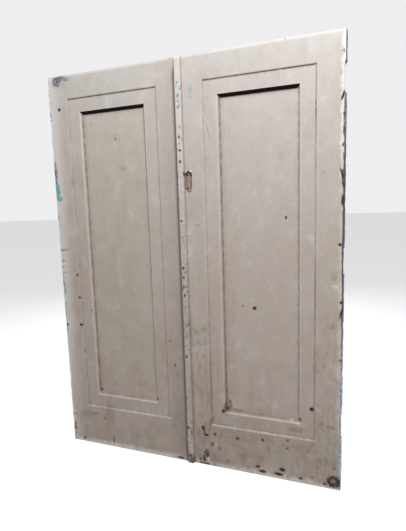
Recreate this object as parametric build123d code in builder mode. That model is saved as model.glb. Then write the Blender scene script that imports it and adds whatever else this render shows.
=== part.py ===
from build123d import *
from math import hypot
import os

# A pair of metal-clad timber door leaves, closed side by side.
# Sizes are in millimetres. X runs along the pair, the front faces -Y and Z is up.

# Leaves
leaf_width = 762.0
leaf_height = 2032.0
leaf_thick = 44.5
meeting_gap = 3.0
sheet = 0.9
edge_bend = 3.0
edge_seam = 0.6

# Face layout of a leaf, measured from its edges
stile_flat = 120.0
top_flat = 120.0
bottom_flat = 232.0
step_depth = 3.0
step_bend = 1.4
border = 70.0
panel_depth = 15.0
splay_run = 8.0
arris_bend = 3.0

# Timber inside
groove_depth = 12.0
panel_play = 1.0
tenon_thick = 14.0
tenon_length = 50.0
tenon_shoulder = 18.0
tenon_play = 0.2
cap_leg = 20.0
cap_leg_start = 5.0

# Hinge seats, cut into the outer edge and open at the back
hinge_height = 114.3
hinge_from_top = 127.0
hinge_from_bottom = 254.0
hinge_backset = 6.35
hinge_leaf_thick = 4.6
hinge_hole_radius = 2.7
hinge_hole_depth = 25.0
outer_hole_spacing = 90.0
inner_hole_spacing = 40.0
outer_hole_inset = 10.0
hole_line_spacing = 14.0

# Torn-out seat at the top of the right leaf, larger than the hinge that was in it.
# The outline gives shares of the seat's height and of the tear's depth.
torn_margin = 4.0
torn_lip = 6.5
torn_depth = 14.0
torn_outline = ((0.0, 0.35), (0.05, 0.8), (0.3, 1.0), (0.55, 0.85), (0.8, 0.95), (0.96, 0.6), (1.0, 0.3))

# Astragal, fixed to the right leaf and lapping over the left one
astragal_width = 33.0
astragal_proud = 14.0
astragal_bend = 6.0
astragal_below_top = 6.0
astragal_end_bend = 5.5
nail_hole_side = -3.0
nail_hole_radius = 2.8
nail_hole_depth = 7.0
nail_holes_from_top = (366.0, 426.0, 480.0)

# Lock cut-out in the right leaf, beside the astragal.
# The outline and the bores are in shares of its half width and half height, down being positive.
cutout_start = 16.0
cutout_width = 40.0
cutout_height = 106.0
cutout_from_top = 576.0
cutout_depth = 9.0
cutout_outline = (
    (-1.0, -0.7), (-0.55, -0.88), (0.1, -1.0), (0.45, -0.78), (0.95, -0.68), (0.85, -0.2),
    (0.9, 0.4), (0.6, 0.82), (0.05, 1.0), (-0.55, 0.85), (-0.95, 0.6), (-1.0, 0.0),
)
bore_radius = 5.0
bore_depth = 26.0
bore_places = ((-0.5, -0.62), (-0.55, 0.6))

# Flush bolts in the left leaf's meeting edge
bolt_radius = 6.0
bolt_play = 0.3
bolt_inset = 19.0
bolt_travel = 19.0
bolt_reach = 305.0
bolt_tip_below = 1.0
bolt_plate_height = 178.0
bolt_plate_width = 25.4
bolt_plate_thick = 3.0
bolt_plate_corner = 4.0
shoe_height = 56.0
shoe_side = 15.0
knob_height = 16.0
knob_width = 7.0
knob_below_face = 0.6
guide_start = 4.0
guide_length = 44.0
guide_thick = 2.5

# Places that follow from the sizes
back_y = (leaf_thick + astragal_proud) / 2
front_y = back_y - leaf_thick
mid_y = (front_y + back_y) / 2
astragal_front = front_y - astragal_proud
panel_level = step_depth + panel_depth
wall_across = sheet * hypot(splay_run, panel_depth) / panel_depth
inner_arris = border + splay_run * sheet / panel_depth - wall_across
ground_nose = border + splay_run - wall_across
groove_floor = ground_nose - groove_depth
window_width = leaf_width - 2 * stile_flat
window_height = leaf_height - top_flat - bottom_flat
window_middle = bottom_flat + window_height / 2
highest_hinge = leaf_height - hinge_from_top - hinge_height / 2
lowest_hinge = hinge_from_bottom + hinge_height / 2
hinge_middles = {
    "top": highest_hinge,
    "middle": (highest_hinge + lowest_hinge) / 2,
    "bottom": lowest_hinge,
}
seat_floor = leaf_width - hinge_leaf_thick
seat_front = front_y + hinge_backset
bolt_x = -(meeting_gap / 2 + bolt_inset)
bolt_middles = {"top": leaf_height - bolt_reach, "bottom": bolt_reach}
bolt_ways = {"top": 1, "bottom": -1}
bolt_ends = {"top": leaf_height, "bottom": 0.0}

leaves = {"left": -1, "right": 1}
kept_seats = {"left": ("top", "middle", "bottom"), "right": ("middle", "bottom")}
torn_seats = {"left": (), "right": ("top",)}
faces = {"front": (front_y, 1), "back": (back_y, -1)}

os.makedirs("parts", exist_ok=True)


def save(part, name):
    part.label = name
    export_step(part, f"parts/{name}.step")


def span(start, end):
    return (min(start, end), max(start, end))


def across(side, start, end):
    """X range on a leaf, between two distances from its meeting edge."""
    return span(side * (meeting_gap / 2 + start), side * (meeting_gap / 2 + end))


def into(face, start, end):
    """Y range between two depths below the front or back face."""
    surface, way = faces[face]
    return span(surface + way * start, surface + way * end)


def block(x, y, z, mode=Mode.ADD):
    """Block that fills three ranges."""
    with Locations(((x[0] + x[1]) / 2, (y[0] + y[1]) / 2, (z[0] + z[1]) / 2)):
        Box(x[1] - x[0], y[1] - y[0], z[1] - z[0], mode=mode)


def bar(mouth, way, radius, length, mode=Mode.ADD):
    """Round bar, or a hole with mode=Mode.SUBTRACT, that runs the given way from its mouth."""
    with Locations(Plane(origin=mouth, z_dir=way).location):
        Cylinder(radius, length, align=(Align.CENTER, Align.CENTER, Align.MIN), mode=mode)


def hinge_seats(leaf):
    """Cuts a leaf's hinge seats, and its torn seat, out of a piece at the outer edge."""
    side = leaves[leaf]
    for seat in kept_seats[leaf]:
        middle = hinge_middles[seat]
        block(across(side, seat_floor, leaf_width + 1), (seat_front, back_y + 1),
              (middle - hinge_height / 2, middle + hinge_height / 2), Mode.SUBTRACT)
    for seat in torn_seats[leaf]:
        low = hinge_middles[seat] - hinge_height / 2 - torn_margin
        height = hinge_height + 2 * torn_margin
        for depth, start in ((torn_lip, front_y - 1), (torn_depth, seat_front)):
            points = [(side * (meeting_gap / 2 + leaf_width - share * depth), low + up * height)
                      for up, share in torn_outline]
            outside = side * (meeting_gap / 2 + leaf_width + 1)
            with BuildSketch(Plane.XZ.offset(-start)) as tear:
                Polygon(*points, (outside, low + height), (outside, low), align=None)
            extrude(tear.sketch, amount=-(back_y + 1 - start), mode=Mode.SUBTRACT)


def bolt_plate_outline(place, thick, mode=Mode.ADD):
    """Rounded plate let into the left leaf's meeting edge."""
    edge = Plane(origin=(-meeting_gap / 2, mid_y, bolt_middles[place]), x_dir=(0, 0, 1), z_dir=(-1, 0, 0))
    with BuildSketch(edge) as outline:
        RectangleRounded(bolt_plate_height, bolt_plate_width, bolt_plate_corner)
    extrude(outline.sketch, amount=thick, mode=mode)


def guide_block(place, mode=Mode.ADD):
    end = bolt_ends[place]
    block(across(-1, guide_start, guide_start + guide_length),
          (mid_y - bolt_plate_width / 2, mid_y + bolt_plate_width / 2),
          span(end, end - bolt_ways[place] * guide_thick), mode)


def flush_bolt_room(place):
    """Cuts the room of one flush bolt, with its plates, into the meeting stile."""
    middle = bolt_middles[place]
    way = bolt_ways[place]
    half_shoe = shoe_side / 2 + bolt_play
    half_room = (shoe_height + bolt_travel) / 2 + bolt_play
    bolt_plate_outline(place, bolt_plate_thick, Mode.SUBTRACT)
    block(across(-1, 0, bolt_inset + half_shoe), (mid_y - half_shoe, mid_y + half_shoe),
          (middle - half_room, middle + half_room), Mode.SUBTRACT)
    bar((bolt_x, mid_y, middle), (0, 0, way), bolt_radius + bolt_play, bolt_reach, Mode.SUBTRACT)
    guide_block(place, Mode.SUBTRACT)


def cutout(depth):
    """Cuts the lock cut-out to a depth below the right leaf's front face."""
    half_width = cutout_width / 2
    half_height = cutout_height / 2
    middle = (meeting_gap / 2 + cutout_start + half_width, front_y, leaf_height - cutout_from_top)
    outline_plane = Plane(origin=middle, x_dir=(1, 0, 0), z_dir=(0, 1, 0))
    with BuildSketch(outline_plane) as hole:
        Polygon(*[(x * half_width, y * half_height) for x, y in cutout_outline], align=None)
    extrude(hole.sketch, amount=depth, mode=Mode.SUBTRACT)


def cap_rebates(side, start, end):
    """Cuts the shallow rebates that a leaf's cap legs lie in."""
    for face in faces:
        for low, high in ((0, cap_leg), (leaf_height - cap_leg, leaf_height)):
            block(across(side, start, end), into(face, sheet, 2 * sheet), (low, high), Mode.SUBTRACT)


def tenons(side, low, high, play, mode):
    """Tenons of a rail between two heights, or their mortises."""
    for start, end in ((stile_flat - sheet - tenon_length, stile_flat - sheet),
                       (leaf_width - stile_flat + sheet, leaf_width - stile_flat + sheet + tenon_length)):
        block(across(side, start - play, end + play),
              (mid_y - tenon_thick / 2 - play, mid_y + tenon_thick / 2 + play),
              (low + tenon_shoulder - play, high - tenon_shoulder + play), mode)


rail_heights = {
    "top": (leaf_height - top_flat + sheet, leaf_height - sheet),
    "bottom": (sheet, bottom_flat - sheet),
}


def stile(leaf, edge):
    """Full-height timber of one side of a leaf."""
    side = leaves[leaf]
    if edge == "meeting":
        x = across(side, sheet, stile_flat - sheet)
        outer_x = side * (meeting_gap / 2 + sheet)
    else:
        x = across(side, leaf_width - stile_flat + sheet, leaf_width - sheet)
        outer_x = side * (meeting_gap / 2 + leaf_width - sheet)
    with BuildPart() as timber:
        block(x, into("front", sheet, leaf_thick - sheet), (sheet, leaf_height - sheet))
        outer = timber.edges().filter_by(Axis.Z).filter_by_position(Axis.X, outer_x - 0.01, outer_x + 0.01)
        fillet(outer, edge_bend - sheet)
        cap_rebates(side, cap_leg_start, leaf_width - cap_leg_start)
        for low, high in rail_heights.values():
            tenons(side, low, high, tenon_play, Mode.SUBTRACT)
        if edge == "hinge":
            hinge_seats(leaf)
            for seat in kept_seats[leaf]:
                for mouth in seat_holes(side, hinge_middles[seat]):
                    bar(mouth, (-side, 0, 0), hinge_hole_radius, hinge_hole_depth, Mode.SUBTRACT)
        elif leaf == "left":
            for place in bolt_middles:
                flush_bolt_room(place)
        else:
            cutout(cutout_depth)
            for x_share, y_share in bore_places:
                mouth = (meeting_gap / 2 + cutout_start + (1 + x_share) * cutout_width / 2, front_y,
                         leaf_height - cutout_from_top - y_share * cutout_height / 2)
                bar(mouth, (0, 1, 0), bore_radius, bore_depth, Mode.SUBTRACT)
    return timber.part


def seat_holes(side, middle):
    """Mouths of a hinge seat's four screw holes: two lines of two."""
    x = side * (meeting_gap / 2 + seat_floor)
    outer_y = seat_front + outer_hole_inset
    lines = ((outer_y, outer_hole_spacing), (outer_y + hole_line_spacing, inner_hole_spacing))
    return [(x, y, middle + end * spacing / 2) for y, spacing in lines for end in (-1, 1)]


def rail(leaf, place):
    """Timber between the stiles, with a tenon at each end."""
    side = leaves[leaf]
    low, high = rail_heights[place]
    with BuildPart() as timber:
        block(across(side, stile_flat - sheet, leaf_width - stile_flat + sheet),
              into("front", sheet, leaf_thick - sheet), (low, high))
        cap_rebates(side, cap_leg_start, leaf_width - cap_leg_start)
        tenons(side, low, high, 0, Mode.ADD)
    return timber.part


def window_sides(side):
    """Middle of each side of a leaf's window, the way to its panel, and its length."""
    middle_x = side * (meeting_gap / 2 + leaf_width / 2)
    return {
        "top": ((middle_x, window_middle + window_height / 2), (0, 0, -1), window_width),
        "bottom": ((middle_x, window_middle - window_height / 2), (0, 0, 1), window_width),
        "meeting": ((side * (meeting_gap / 2 + stile_flat), window_middle), (side, 0, 0), window_height),
        "hinge": ((side * (meeting_gap / 2 + leaf_width - stile_flat), window_middle), (-side, 0, 0),
                  window_height),
    }


def mitred_strip(side, place, face, outline, bends):
    """Strip of one section along a side of the window, with 45 degree ends.

    The outline is in distances from the window's edge and depths below the face.
    bends gives places on it to round, each with its radius.
    """
    (x, z), inward, length = window_sides(side)[place]
    surface, way = faces[face]
    origin = Vector(x, surface, z)
    inward = Vector(*inward)
    depthward = Vector(0, way, 0)
    reach = ground_nose + wall_across + 1
    with BuildPart() as strip:
        with BuildSketch(Plane(origin=origin, x_dir=inward, z_dir=inward.cross(depthward))) as section:
            with BuildLine():
                Polyline(*outline, close=True)
            make_face()
            for corner, radius in bends:
                fillet(section.vertices().sort_by_distance(corner)[:1], radius)
        extrude(amount=length / 2 + sheet, both=True)
        with BuildSketch(Plane(origin=origin, x_dir=inward, z_dir=depthward)):
            Polygon((-sheet, -length / 2 - sheet), (reach, -length / 2 + reach),
                    (reach, length / 2 - reach), (-sheet, length / 2 + sheet), align=None)
        extrude(amount=leaf_thick, mode=Mode.INTERSECT)
    return strip.part


def ground(leaf, place):
    """Timber ground under a border moulding, grooved for the panel."""
    back_level = leaf_thick - panel_level
    front_face = step_depth + sheet
    back_face = leaf_thick - front_face
    outline = [
        (-sheet, front_face), (inner_arris, front_face), (ground_nose, panel_level),
        (groove_floor, panel_level), (groove_floor, back_level), (ground_nose, back_level),
        (inner_arris, back_face), (-sheet, back_face),
    ]
    bend = arris_bend - sheet
    return mitred_strip(leaves[leaf], place, "front", outline,
                        [((inner_arris, front_face), bend), ((inner_arris, back_face), bend)])


def moulding(leaf, place, face):
    """Folded sheet moulding from the window's step down to the panel."""
    outline = [
        (-sheet, step_depth), (border, step_depth), (border + splay_run, panel_level),
        (ground_nose, panel_level), (inner_arris, step_depth + sheet), (-sheet, step_depth + sheet),
    ]
    bends = [((border, step_depth), arris_bend), ((inner_arris, step_depth + sheet), arris_bend - sheet)]
    return mitred_strip(leaves[leaf], place, face, outline, bends)


def panel_layer(leaf, y):
    """Upright layer of the sunk panel, held in the grounds' grooves."""
    side = leaves[leaf]
    edge = groove_floor + panel_play
    with BuildPart() as layer:
        block(across(side, stile_flat + edge, leaf_width - stile_flat - edge), y,
              (bottom_flat + edge, leaf_height - top_flat - edge))
    return layer.part


def face_pan(leaf, face):
    """Face sheet with a window, folded round both edges of the leaf and down at the window."""
    side = leaves[leaf]
    surface, way = faces[face]
    fold = (leaf_thick - edge_seam) / 2
    outline = [(0, 0), (leaf_width, 0), (leaf_width, fold), (leaf_width - sheet, fold),
               (leaf_width - sheet, sheet), (sheet, sheet), (sheet, fold), (0, fold)]
    middle_x = side * (meeting_gap / 2 + leaf_width / 2)
    window_plane = Plane(origin=(middle_x, surface, window_middle), x_dir=(1, 0, 0), z_dir=(0, way, 0))
    with BuildPart() as pan:
        with BuildSketch() as section:
            Polygon(*[(side * (meeting_gap / 2 + u), surface + way * v) for u, v in outline], align=None)
            for u in (0, leaf_width):
                outer = (side * (meeting_gap / 2 + u), surface)
                fillet(section.vertices().sort_by_distance(outer)[:1], edge_bend)
            for u in (sheet, leaf_width - sheet):
                inner = (side * (meeting_gap / 2 + u), surface + way * sheet)
                fillet(section.vertices().sort_by_distance(inner)[:1], edge_bend - sheet)
        extrude(amount=leaf_height)
        with BuildSketch(window_plane):
            Rectangle(window_width + 2 * sheet, window_height + 2 * sheet)
        extrude(amount=step_depth)
        with BuildSketch(window_plane):
            Rectangle(window_width, window_height)
        extrude(amount=step_depth, mode=Mode.SUBTRACT)
        outer_face = pan.faces().filter_by(Axis.Y).sort_by(Axis.Y)[0 if way > 0 else -1]
        fillet(outer_face.inner_wires()[0].edges(), step_bend)
        hinge_seats(leaf)
        if leaf == "left":
            for place in bolt_middles:
                bolt_plate_outline(place, bolt_plate_thick, Mode.SUBTRACT)
        elif face == "front":
            cutout(2 * sheet)
    return pan.part


def cap(leaf, place):
    """Channel that closes a leaf's top or bottom between the two face pans."""
    side = leaves[leaf]
    end = bolt_ends[place]
    way = bolt_ways[place]
    with BuildPart() as channel:
        block(across(side, sheet, leaf_width - sheet), into("front", sheet, leaf_thick - sheet),
              span(end, end - way * sheet))
        fillet(channel.edges().filter_by(Axis.Z), edge_bend - sheet)
        for face in faces:
            block(across(side, cap_leg_start, leaf_width - cap_leg_start), into(face, sheet, 2 * sheet),
                  span(end, end - way * cap_leg))
        if leaf == "left":
            guide_block(place, Mode.SUBTRACT)
    return channel.part


def flush_bolt(place):
    """Round bolt with a square shoe and the thumb knob that slides it."""
    way = bolt_ways[place]
    rest = bolt_middles[place] - way * bolt_travel / 2
    tip = bolt_ends[place] - way * bolt_tip_below
    with BuildPart() as bolt:
        block(across(-1, bolt_plate_thick + bolt_play, bolt_inset + shoe_side / 2),
              (mid_y - shoe_side / 2, mid_y + shoe_side / 2),
              (rest - shoe_height / 2, rest + shoe_height / 2))
        block(across(-1, knob_below_face, bolt_inset),
              (mid_y - knob_width / 2, mid_y + knob_width / 2),
              (rest - knob_height / 2, rest + knob_height / 2))
        bar((bolt_x, mid_y, rest), (0, 0, way), bolt_radius, abs(tip - rest))
        chamfer(bolt.edges().filter_by(GeomType.CIRCLE).sort_by(Axis.Z)[-1 if way > 0 else 0], 1.0)
    return bolt.part


def bolt_plate(place):
    """Face plate of a flush bolt, slotted for its knob."""
    middle = bolt_middles[place]
    half_slot = (knob_height + bolt_travel) / 2 + bolt_play
    half_knob = knob_width / 2 + bolt_play
    with BuildPart() as plate:
        bolt_plate_outline(place, bolt_plate_thick)
        block(across(-1, -1, bolt_plate_thick + 1), (mid_y - half_knob, mid_y + half_knob),
              (middle - half_slot, middle + half_slot), Mode.SUBTRACT)
    return plate.part


def guide_plate(place):
    """Plate let into the leaf's end, with the hole that the bolt comes out of."""
    way = bolt_ways[place]
    end = bolt_ends[place]
    with BuildPart() as plate:
        guide_block(place)
        bar((bolt_x, mid_y, end), (0, 0, -way), bolt_radius + bolt_play, guide_thick, Mode.SUBTRACT)
    return plate.part


def astragal_bar(start, ease, mode=Mode.ADD):
    """Round-shouldered bar, a distance inside the astragal's face, with its top end eased."""
    width = astragal_width - 2 * start
    depth = astragal_proud - start
    with BuildPart(mode=Mode.PRIVATE) as whole:
        with BuildSketch() as section:
            with Locations((0, front_y)):
                Rectangle(width, depth, align=(Align.CENTER, Align.MAX))
            fillet(section.vertices().group_by(Axis.Y)[0], astragal_bend - start)
        extrude(amount=leaf_height - astragal_below_top - start)
        top_edges = whole.faces().sort_by(Axis.Z)[-1].edges()
        ease(top_edges.sort_by(Axis.Y)[:-1], astragal_end_bend - start)
    add(whole.part, mode=mode)


def nail_holes():
    for from_top in nail_holes_from_top:
        bar((nail_hole_side, astragal_front, leaf_height - from_top), (0, 1, 0), nail_hole_radius,
            nail_hole_depth, Mode.SUBTRACT)


for leaf in leaves:
    save(stile(leaf, "meeting"), f"{leaf}_meeting_stile")
    save(stile(leaf, "hinge"), f"{leaf}_hinge_stile")
    for place in ("top", "bottom"):
        save(rail(leaf, place), f"{leaf}_{place}_rail")
        save(cap(leaf, place), f"{leaf}_{place}_cap")
    for place in ("top", "bottom", "meeting", "hinge"):
        save(ground(leaf, place), f"{leaf}_{place}_ground")
        for face in faces:
            save(moulding(leaf, place, face), f"{leaf}_{place}_moulding_{face}")
    for face in faces:
        save(face_pan(leaf, face), f"{leaf}_face_pan_{face}")
        save(panel_layer(leaf, into(face, panel_level, panel_level + sheet)), f"{leaf}_panel_sheet_{face}")
    board = into("front", panel_level + sheet, leaf_thick - panel_level - sheet)
    save(panel_layer(leaf, board), f"{leaf}_panel_board")

for place in bolt_middles:
    save(flush_bolt(place), f"{place}_flush_bolt")
    save(bolt_plate(place), f"{place}_flush_bolt_plate")
    save(guide_plate(place), f"{place}_flush_bolt_guide")

with BuildPart() as astragal_strip:
    astragal_bar(sheet, chamfer)
    nail_holes()
save(astragal_strip.part, "astragal_strip")

with BuildPart() as astragal_cover:
    astragal_bar(0, fillet)
    astragal_bar(sheet, chamfer, Mode.SUBTRACT)
    nail_holes()
save(astragal_cover.part, "astragal_cover")
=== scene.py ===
import math
from bisect import bisect_left, bisect_right

import bpy
import numpy as np
from mathutils import Matrix, Vector, noise


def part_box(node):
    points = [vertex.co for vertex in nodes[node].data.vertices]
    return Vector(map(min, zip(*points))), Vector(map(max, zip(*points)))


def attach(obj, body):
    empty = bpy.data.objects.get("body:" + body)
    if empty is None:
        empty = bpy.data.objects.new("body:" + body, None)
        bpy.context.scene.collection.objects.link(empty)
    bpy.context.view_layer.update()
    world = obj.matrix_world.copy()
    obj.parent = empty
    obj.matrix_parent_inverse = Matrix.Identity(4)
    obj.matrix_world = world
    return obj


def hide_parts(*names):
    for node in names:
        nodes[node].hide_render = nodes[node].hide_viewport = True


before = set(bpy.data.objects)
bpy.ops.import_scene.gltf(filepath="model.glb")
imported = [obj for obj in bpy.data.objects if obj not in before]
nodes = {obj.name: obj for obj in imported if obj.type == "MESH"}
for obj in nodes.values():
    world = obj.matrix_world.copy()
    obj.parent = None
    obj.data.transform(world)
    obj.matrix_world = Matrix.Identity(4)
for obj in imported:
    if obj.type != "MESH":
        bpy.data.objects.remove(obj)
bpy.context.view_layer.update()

# Sizes of the pair, in metres
LEAF_WIDTH = 0.762
LEAF_HEIGHT = 2.032
HALF_GAP = 0.0015
FRONT_Y = -0.01525
STILE_FLAT = 0.120
TOP_FLAT = 0.120
BOTTOM_FLAT = 0.232
BORDER = 0.078
ASTRAGAL_HALF = 0.0165
SEAM_ASIDE = 0.0015  # of the line of dirt and painted shade, from the astragal's right edge
CREST_ASIDE = 0.0015  # of the astragal's pale crest, from its middle
MIDDLE_X = HALF_GAP + LEAF_WIDTH / 2
WINDOW_MIDDLE_Z = (BOTTOM_FLAT + LEAF_HEIGHT - TOP_FLAT) / 2
WINDOW_HALF = (LEAF_WIDTH / 2 - STILE_FLAT, (LEAF_HEIGHT - TOP_FLAT - BOTTOM_FLAT) / 2)

# Colours of the paint, of the dirt, painted shade and painted highlights on it, and of what shows where
# it is gone
BRUSH_GROOVE = (0.30, 0.26, 0.21, 1)
DUST_GRAIN = (0.22, 0.17, 0.13, 1)
DULL_PATCH = (0.24, 0.175, 0.14, 1)
WASHED_PATCH = (0.74, 0.70, 0.68, 1)
PANEL_TINT = (0.955, 0.985, 0.87, 1)
RUBBED_AND_LIT_CREAM = (0.80, 0.745, 0.715, 1)
DRY_DIRT_AND_SHADE = (0.20, 0.155, 0.12, 1)
TAN_BAND = (0.34, 0.235, 0.185, 1)
CREASE_DIRT_AND_SHADE = (0.060, 0.036, 0.027, 1)
DEEP_SHADE = (0.010, 0.003, 0.003, 1)
SPECK_BROWN = (0.12, 0.08, 0.06, 1)
STAIN_BROWN = (0.13, 0.082, 0.062, 1)
RIM_BROWN = (0.26, 0.18, 0.14, 1)
GLINT = (0.78, 0.74, 0.70, 1)
LIFTED_SHADOW = (0.05, 0.05, 0.07, 1)
DARK_ZINC = (0.040, 0.047, 0.070, 1)
ZINC_TONES = (0.13, 0.155, 0.20, 1), (0.52, 0.56, 0.65, 1)
OLD_TEAL_TONES = (0.08, 0.30, 0.32, 1), (0.30, 0.60, 0.60, 1)
RUST_TONES = (0.022, 0.010, 0.013, 1), (0.15, 0.085, 0.090, 1)
MAUVE = (0.27, 0.205, 0.225, 1)
HOLE_TONES = (0.014, 0.008, 0.009, 1), (0.12, 0.070, 0.060, 1)
BEAD_WORN_AND_LIT_CREST = (0.74, 0.715, 0.72, 1)
BEAD_MOTTLE = (0.14, 0.115, 0.10, 1)
BEAD_FLANK_DIRT_AND_SHADE = (0.085, 0.070, 0.058, 1)
BEAD_END_DIRT = (0.16, 0.10, 0.115, 1)
BEAD_STAIN = (0.20, 0.14, 0.11, 1)
BEAD_ZINC_TONES = (0.10, 0.12, 0.17, 1), (0.34, 0.40, 0.50, 1)
BEAD_TEAL = (0.25, 0.42, 0.44, 1)
BEAD_RUST_TONES = (0.04, 0.02, 0.026, 1), (0.24, 0.14, 0.14, 1)
BEAD_CHIP_TONES = (0.012, 0.010, 0.012, 1), (0.10, 0.085, 0.085, 1)
TIMBER_TONES = (0.17, 0.115, 0.09, 1), (0.37, 0.275, 0.225, 1)
TIMBER_BLOTCH = (0.07, 0.045, 0.035, 1)
STEEL_TONES = (0.16, 0.15, 0.15, 1), (0.42, 0.42, 0.43, 1)


class Wiring:
    """Adds nodes to a tree; each input may be a socket or a plain value, and None leaves it alone."""

    def __init__(self, tree):
        self.tree = tree

    def put(self, kind, inputs=None, **settings):
        node = self.tree.nodes.new(kind)
        for name, value in settings.items():
            setattr(node, name, value)
        for name, value in (inputs or {}).items():
            self.feed(node.inputs[name], value)
        return node

    def feed(self, socket, value):
        if isinstance(value, bpy.types.NodeSocket):
            self.tree.links.new(value, socket)
        elif value is not None:
            socket.default_value = value

    def maths(self, operation, a, b=0.0, c=0.0, clamp=False):
        node = self.put("ShaderNodeMath", operation=operation, use_clamp=clamp)
        for socket, value in zip(node.inputs, (a, b, c)):
            self.feed(socket, value)
        return node.outputs[0]

    def plus(self, a, b):
        return self.maths("ADD", a, b)

    def minus(self, a, b):
        return self.maths("SUBTRACT", a, b)

    def times(self, a, b):
        return self.maths("MULTIPLY", a, b)

    def times_plus(self, a, b, c, clamp=False):
        return self.maths("MULTIPLY_ADD", a, b, c, clamp)

    def most(self, a, b):
        return self.maths("MAXIMUM", a, b)

    def magnitude(self, a):
        return self.maths("ABSOLUTE", a)

    def vector(self, operation, a, b=(0.0, 0.0, 0.0)):
        node = self.put("ShaderNodeVectorMath", operation=operation)
        self.feed(node.inputs[0], a)
        self.feed(node.inputs[1], b)
        return node.outputs["Value" if operation == "LENGTH" else "Vector"]

    def blend(self, factor, a, b, mode="MIX"):
        node = self.put("ShaderNodeMix", data_type="RGBA", blend_type=mode, clamp_factor=True)
        self.feed(node.inputs["Factor"], factor)
        self.feed(node.inputs[6], a)
        self.feed(node.inputs[7], b)
        return node.outputs[2]

    def between(self, value, low, high, out_low=0.0, out_high=1.0):
        """A smooth step from out_low, where the value is low, to out_high, where it is high."""
        node = self.put("ShaderNodeMapRange", interpolation_type="SMOOTHSTEP")
        for name, number in (("Value", value), ("From Min", low), ("From Max", high),
                             ("To Min", out_low), ("To Max", out_high)):
            self.feed(node.inputs[name], number)
        return node.outputs["Result"]

    def noise(self, vector, scale, detail=3.0, roughness=0.5):
        node = self.put("ShaderNodeTexNoise", {"Vector": vector, "Scale": scale, "Detail": detail,
                                               "Roughness": roughness})
        return node.outputs["Fac"]


def group_wiring(name, inputs, outputs):
    """A new shader node group, the wiring to fill it, and the sockets inside it.

    Each input goes by its name to its first value. The kind of its socket follows from that value:
    a number, a colour of four numbers, or None for a vector.
    """
    group = bpy.data.node_groups.new(name, "ShaderNodeTree")
    for label, value in inputs.items():
        kind = "Vector" if value is None else "Float" if isinstance(value, float) else "Color"
        socket = group.interface.new_socket(label, in_out="INPUT", socket_type="NodeSocket" + kind)
        if value is not None:
            socket.default_value = value
    for label in outputs:
        kind = "Color" if label == "Color" else "Float"
        group.interface.new_socket(label, in_out="OUTPUT", socket_type="NodeSocket" + kind)
    given = group.nodes.new("NodeGroupInput").outputs
    result = group.nodes.new("NodeGroupOutput").inputs
    return group, Wiring(group), given, result


def use(wiring, group, place=(), **inputs):
    """Puts a node group in a tree and returns its outputs; sockets of place feed inputs of their name."""
    node = wiring.put("ShaderNodeGroup", node_tree=group)
    for socket in node.inputs:
        if socket.name in place:
            wiring.feed(socket, place[socket.name])
    for name, value in inputs.items():
        wiring.feed(node.inputs[name.capitalize()], value)
    return node.outputs


def make_leaf_place():
    """Where a point lies on its leaf, in metres.

    Outer is the distance from the outer edge, and Edge from the nearest of outer edge, top and bottom.
    Window is the distance outside the window's step, and Panel outside the sunk panel.
    Up is the height above the floor, and Beside the distance left of the astragal.
    Lintel, Ledge and Cheek are 1 where the nearest side of the window is its top, its bottom or upright.
    First is 1 where that side is the window's left one, and Right is 1 on the right leaf.
    """
    group, w, given, result = group_wiring(
        "leaf place", {"Point": None},
        ("Outer", "Edge", "Window", "Panel", "Up", "Lintel", "Ledge", "Cheek", "Right", "Beside",
         "First"))
    parts = w.put("ShaderNodeSeparateXYZ", {"Vector": given["Point"]}).outputs
    up = parts["Z"]
    beside = w.magnitude(parts["X"])
    outer = w.minus(HALF_GAP + LEAF_WIDTH, beside)
    from_top = w.minus(LEAF_HEIGHT, up)
    past_x = w.minus(w.magnitude(w.minus(beside, MIDDLE_X)), WINDOW_HALF[0])
    from_middle = w.minus(up, WINDOW_MIDDLE_Z)
    past_z = w.minus(w.magnitude(from_middle), WINDOW_HALF[1])
    cheek = w.maths("GREATER_THAN", past_x, past_z)
    level = w.minus(1.0, cheek)
    upper = w.maths("GREATER_THAN", from_middle, 0.0)
    window = w.most(past_x, past_z)
    w.feed(result["Outer"], outer)
    w.feed(result["Edge"], w.maths("MINIMUM", outer, w.maths("MINIMUM", from_top, up)))
    w.feed(result["Window"], window)
    w.feed(result["Panel"], w.plus(window, BORDER))
    w.feed(result["Up"], up)
    w.feed(result["Lintel"], w.times(level, upper))
    w.feed(result["Ledge"], w.times(level, w.minus(1.0, upper)))
    w.feed(result["Cheek"], cheek)
    right = w.maths("GREATER_THAN", parts["X"], 0.0)
    inner_half = w.maths("LESS_THAN", beside, MIDDLE_X)
    first = w.maths("COMPARE", inner_half, right, 0.5)
    w.feed(result["First"], w.times(cheek, first))
    w.feed(result["Right"], right)
    w.feed(result["Beside"], w.minus(w.times(parts["X"], -1.0), ASTRAGAL_HALF))
    return group


MARK_RAGGEDNESS = 1.4


def make_mark():
    """A ragged chip and its rim, from a mark map.

    The map's three numbers say how far across and along the mark a point is, and the mark's strength.
    """
    group, w, given, result = group_wiring("paint mark", {"Map": None, "Wobble": 0.0}, ("Mask", "Rim"))
    parts = w.put("ShaderNodeSeparateXYZ", {"Vector": given["Map"]}).outputs
    flat = w.put("ShaderNodeCombineXYZ", {"X": parts["X"], "Y": parts["Y"]}).outputs[0]
    reach = w.times_plus(given["Wobble"], MARK_RAGGEDNESS, w.vector("LENGTH", flat))
    w.feed(result["Mask"], w.times(w.between(reach, 1.26, 0.92), parts["Z"]))
    w.feed(result["Rim"], w.times(w.between(reach, 2.1, 1.0), parts["Z"]))
    return group


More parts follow.
